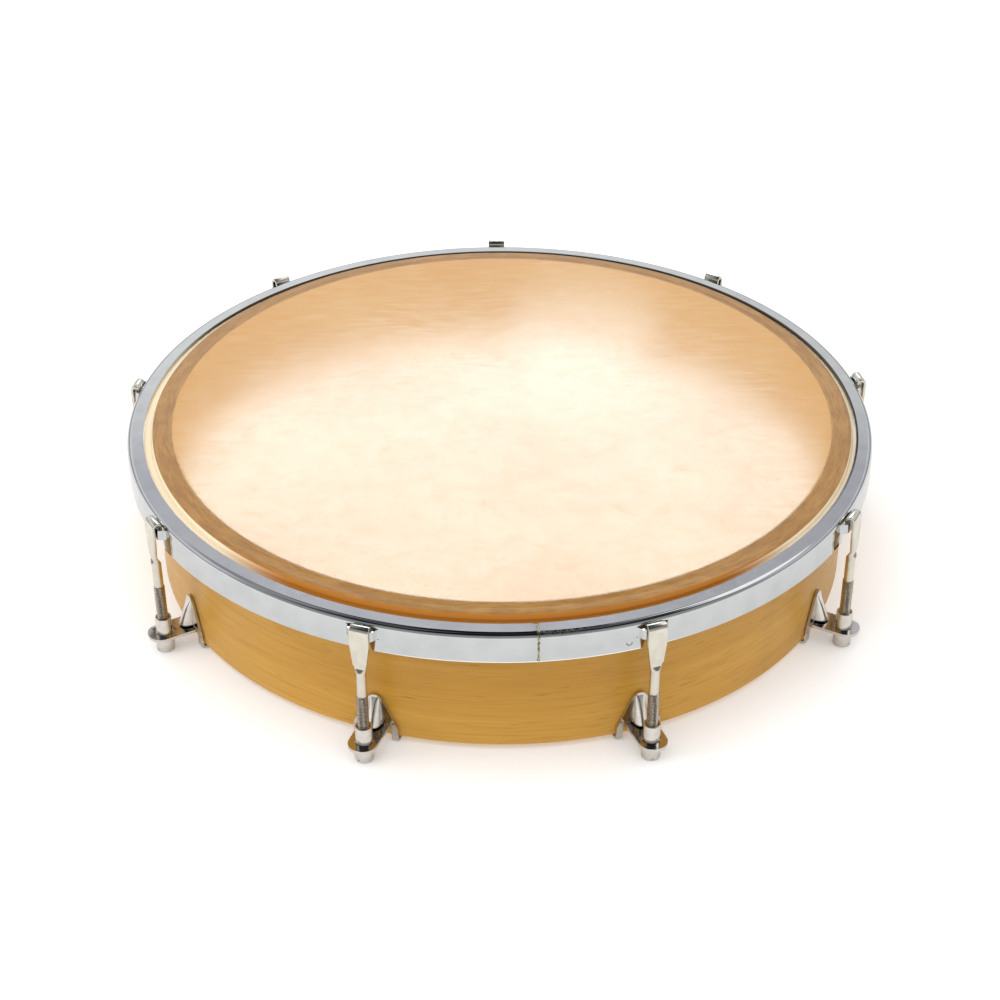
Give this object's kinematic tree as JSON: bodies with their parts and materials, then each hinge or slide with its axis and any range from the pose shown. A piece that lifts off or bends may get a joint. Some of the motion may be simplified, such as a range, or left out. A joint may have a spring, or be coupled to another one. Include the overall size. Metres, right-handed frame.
{
  "type": "frame drum",
  "caption": "Tunable frame drum: a round wooden shell whose skin head is drawn down by a steel counter hoop, claw hooks and slotted nuts.",
  "frame": {"origin": "centre of the playing face: the drum's axis at the top surface of the skin", "axes": "+Z along the drum's axis, out of the playing face; +Y towards tuning station 1; +X completes the right-handed set"},
  "size_m": [0.3668, 0.3616, 0.0728],
  "materials": {
    "shell_maple": "satin clear-lacquered maple, fine grain running round the shell",
    "natural_skin": "natural translucent goatskin, mottled, half matt",
    "flesh_wood": "plain bent wood, hidden by the lapped skin",
    "hoop_chrome": "bright chrome-plated rolled steel",
    "hook_nickel": "bright nickel plate, slightly warm",
    "nut_nickel": "bright nickel plate",
    "bracket_nickel": "bright nickel-plated steel pressing",
    "screw_zinc": "zinc-plated steel"
  },
  "bodies": {
    "shell_assembly": {"shell": "shell_maple", "skin_head": "natural_skin", "flesh_hoop": "flesh_wood", "bracket_1": "bracket_nickel", "bracket_2": "bracket_nickel", "bracket_3": "bracket_nickel", "bracket_4": "bracket_nickel", "bracket_5": "bracket_nickel", "bracket_6": "bracket_nickel", "bracket_7": "bracket_nickel", "bracket_8": "bracket_nickel", "bracket_9": "bracket_nickel", "bracket_screw_1": "screw_zinc", "bracket_screw_2": "screw_zinc", "bracket_screw_3": "screw_zinc", "bracket_screw_4": "screw_zinc", "bracket_screw_5": "screw_zinc", "bracket_screw_6": "screw_zinc", "bracket_screw_7": "screw_zinc", "bracket_screw_8": "screw_zinc", "bracket_screw_9": "screw_zinc", "screw_washer_1": "screw_zinc", "screw_washer_2": "screw_zinc", "screw_washer_3": "screw_zinc", "screw_washer_4": "screw_zinc", "screw_washer_5": "screw_zinc", "screw_washer_6": "screw_zinc", "screw_washer_7": "screw_zinc", "screw_washer_8": "screw_zinc", "screw_washer_9": "screw_zinc"},
    "tension_hoop": {"counter_hoop": "hoop_chrome", "hook_1": "hook_nickel", "hook_2": "hook_nickel", "hook_3": "hook_nickel", "hook_4": "hook_nickel", "hook_5": "hook_nickel", "hook_6": "hook_nickel", "hook_7": "hook_nickel", "hook_8": "hook_nickel", "hook_9": "hook_nickel"},
    "tension_nut_1": {"nut_1": "nut_nickel"},
    "tension_nut_2": {"nut_2": "nut_nickel"},
    "tension_nut_3": {"nut_3": "nut_nickel"},
    "tension_nut_4": {"nut_4": "nut_nickel"},
    "tension_nut_5": {"nut_5": "nut_nickel"},
    "tension_nut_6": {"nut_6": "nut_nickel"},
    "tension_nut_7": {"nut_7": "nut_nickel"},
    "tension_nut_8": {"nut_8": "nut_nickel"},
    "tension_nut_9": {"nut_9": "nut_nickel"}
  },
  "joints": [
    {"name": "hoop_travel", "type": "slide", "parent": "shell_assembly", "child": "tension_hoop", "axis": [0, 0, 1], "range_m": [0, 0.004]},
    {"name": "nut_turn_1", "type": "hinge", "parent": "shell_assembly", "child": "tension_nut_1", "pos_m": [0, 0.1786, -0.0648], "axis": [0, 0, 1], "range_deg": [-1810, 0]},
    {"name": "nut_turn_2", "type": "hinge", "parent": "shell_assembly", "child": "tension_nut_2", "pos_m": [-0.1148, 0.13682, -0.0648], "axis": [0, 0, 1], "range_deg": [-1810, 0]},
    {"name": "nut_turn_3", "type": "hinge", "parent": "shell_assembly", "child": "tension_nut_3", "pos_m": [-0.17589, 0.03101, -0.0648], "axis": [0, 0, 1], "range_deg": [-1810, 0]},
    {"name": "nut_turn_4", "type": "hinge", "parent": "shell_assembly", "child": "tension_nut_4", "pos_m": [-0.15467, -0.0893, -0.0648], "axis": [0, 0, 1], "range_deg": [-1810, 0]},
    {"name": "nut_turn_5", "type": "hinge", "parent": "shell_assembly", "child": "tension_nut_5", "pos_m": [-0.06109, -0.16783, -0.0648], "axis": [0, 0, 1], "range_deg": [-1810, 0]},
    {"name": "nut_turn_6", "type": "hinge", "parent": "shell_assembly", "child": "tension_nut_6", "pos_m": [0.06109, -0.16783, -0.0648], "axis": [0, 0, 1], "range_deg": [-1810, 0]},
    {"name": "nut_turn_7", "type": "hinge", "parent": "shell_assembly", "child": "tension_nut_7", "pos_m": [0.15467, -0.0893, -0.0648], "axis": [0, 0, 1], "range_deg": [-1810, 0]},
    {"name": "nut_turn_8", "type": "hinge", "parent": "shell_assembly", "child": "tension_nut_8", "pos_m": [0.17589, 0.03101, -0.0648], "axis": [0, 0, 1], "range_deg": [-1810, 0]},
    {"name": "nut_turn_9", "type": "hinge", "parent": "shell_assembly", "child": "tension_nut_9", "pos_m": [0.1148, 0.13682, -0.0648], "axis": [0, 0, 1], "range_deg": [-1810, 0]}
  ],
  "couplings": [
    {"joint": "nut_turn_1", "follows": "hoop_travel", "rad_per_m": -7854},
    {"joint": "nut_turn_2", "follows": "hoop_travel", "rad_per_m": -7854},
    {"joint": "nut_turn_3", "follows": "hoop_travel", "rad_per_m": -7854},
    {"joint": "nut_turn_4", "follows": "hoop_travel", "rad_per_m": -7854},
    {"joint": "nut_turn_5", "follows": "hoop_travel", "rad_per_m": -7854},
    {"joint": "nut_turn_6", "follows": "hoop_travel", "rad_per_m": -7854},
    {"joint": "nut_turn_7", "follows": "hoop_travel", "rad_per_m": -7854},
    {"joint": "nut_turn_8", "follows": "hoop_travel", "rad_per_m": -7854},
    {"joint": "nut_turn_9", "follows": "hoop_travel", "rad_per_m": -7854}
  ]
}
